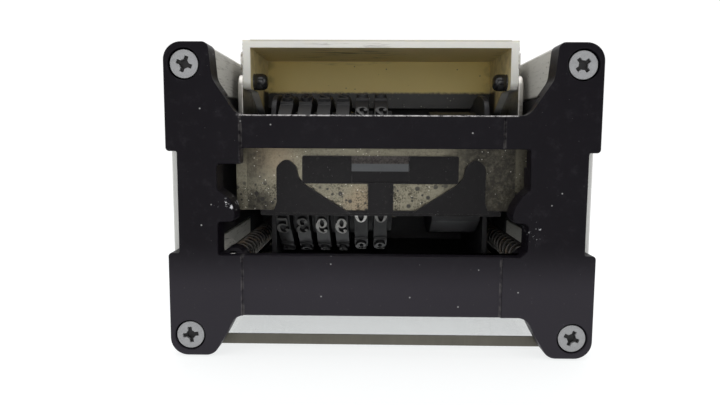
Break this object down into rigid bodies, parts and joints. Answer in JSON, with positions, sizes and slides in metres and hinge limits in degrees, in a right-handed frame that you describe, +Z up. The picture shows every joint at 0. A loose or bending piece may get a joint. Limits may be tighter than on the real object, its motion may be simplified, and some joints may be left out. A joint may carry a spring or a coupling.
{
  "type": "numbering machine",
  "caption": "Self-inking hand numbering machine: pressing the handle swings the ink pad aside and stamps a row of digit wheels through an open foot frame.",
  "frame": {"origin": "middle of the foot frame's four screws, in the plane of the surface the machine stands on", "axes": "+Z up, +Y to the rear, +X to the user's right"},
  "size_m": [0.0726, 0.0552, 0.1475],
  "materials": {
    "black_paint": "satin black enamel, scuffed",
    "black_plastic": "moulded black, semi-gloss",
    "brass_part": "plain",
    "bright_steel": "bright drawn steel",
    "cassette_black": "black moulding with ink residue",
    "clear_window": "clear moulded acrylic, glossy",
    "cream_plastic": "aged cream moulding, stained inside",
    "dark_steel": "blackened steel, inked",
    "grey_enamel": "light grey semi-gloss enamel, dusty inside",
    "ink_felt": "ink-soaked felt",
    "spring_steel": "oiled spring wire",
    "type_metal": "inked type metal, worn at the edges",
    "worn_chrome": "worn, speckled chrome plate",
    "zinc_steel": "zinc plated, satin"
  },
  "bodies": {
    "frame": {"base_frame": "black_paint", "base_screws": "zinc_steel", "side_cover_right": "grey_enamel", "side_cover_left": "grey_enamel", "cover_screws": "zinc_steel", "inner_frame_right": "dark_steel", "inner_frame_left": "dark_steel", "pad_rack_right": "zinc_steel", "pad_rack_left": "zinc_steel", "guide_rods": "bright_steel", "return_springs": "spring_steel", "front_window": "clear_window", "front_cover": "grey_enamel", "top_bridge": "black_plastic"},
    "lock": {"lock_button": "bright_steel"},
    "head": {"head_block": "cassette_black", "head_hood": "cream_plastic", "head_side_plate_right": "bright_steel", "head_side_plate_left": "bright_steel", "hood_pins": "dark_steel", "wheel_cage": "dark_steel", "detent_comb": "spring_steel", "pawl_pin": "bright_steel", "plunger_column": "bright_steel", "handle": "black_plastic", "handle_cap": "cassette_black"},
    "pawl": {"feed_pawl": "dark_steel"},
    "pad": {"drive_shaft": "bright_steel", "shaft_clips": "spring_steel", "pad_pinion_right": "brass_part", "pad_pinion_left": "brass_part", "feed_cam": "dark_steel", "pad_bracket": "worn_chrome", "pad_cassette": "cassette_black", "ink_pad": "ink_felt"},
    "wheel_1": {"number_wheel_1": "type_metal"},
    "wheel_2": {"number_wheel_2": "type_metal"},
    "wheel_3": {"number_wheel_3": "type_metal"},
    "wheel_4": {"number_wheel_4": "type_metal"},
    "wheel_5": {"number_wheel_5": "type_metal"},
    "wheel_6": {"number_wheel_6": "type_metal"},
    "selector": {"repeat_selector": "dark_steel"}
  },
  "joints": [
    {"name": "head_slide", "type": "slide", "parent": "frame", "child": "head", "axis": [0, 0, -1], "range_m": [0, 0.0127], "stiffness_N_per_m": 1500, "springref_m": -0.01, "deforming": ["return_springs"]},
    {"name": "lock_slide", "type": "slide", "parent": "frame", "child": "lock", "axis": [1, 0, 0], "range_m": [0, 0.002], "stiffness_N_per_m": 400, "springref_m": -0.001},
    {"name": "pad_swing", "type": "hinge", "parent": "head", "child": "pad", "pos_m": [0, 0.0035, 0.0291], "axis": [1, 0, 0], "range_deg": [0, 108]},
    {"name": "pawl_swing", "type": "hinge", "parent": "head", "child": "pawl", "pos_m": [0, 0.0128, 0.0452], "axis": [1, 0, 0], "range_deg": [-4.2, 0]},
    {"name": "wheel_1_turn", "type": "hinge", "parent": "head", "child": "wheel_1", "pos_m": [0, 0.0035, 0.0291], "axis": [1, 0, 0], "continuous": true},
    {"name": "wheel_2_turn", "type": "hinge", "parent": "head", "child": "wheel_2", "pos_m": [0, 0.0035, 0.0291], "axis": [1, 0, 0], "continuous": true},
    {"name": "wheel_3_turn", "type": "hinge", "parent": "head", "child": "wheel_3", "pos_m": [0, 0.0035, 0.0291], "axis": [1, 0, 0], "continuous": true},
    {"name": "wheel_4_turn", "type": "hinge", "parent": "head", "child": "wheel_4", "pos_m": [0, 0.0035, 0.0291], "axis": [1, 0, 0], "continuous": true},
    {"name": "wheel_5_turn", "type": "hinge", "parent": "head", "child": "wheel_5", "pos_m": [0, 0.0035, 0.0291], "axis": [1, 0, 0], "continuous": true},
    {"name": "wheel_6_turn", "type": "hinge", "parent": "head", "child": "wheel_6", "pos_m": [0, 0.0035, 0.0291], "axis": [1, 0, 0], "continuous": true},
    {"name": "selector_turn", "type": "hinge", "parent": "head", "child": "selector", "pos_m": [0, 0.0035, 0.0291], "axis": [1, 0, 0], "continuous": true}
  ],
  "couplings": [
    {"joint": "pad_swing", "follows": "head_slide", "rad_per_m": 148.15},
    {"joint": "pawl_swing", "follows": "head_slide", "rad_per_m": -5.49}
  ]
}
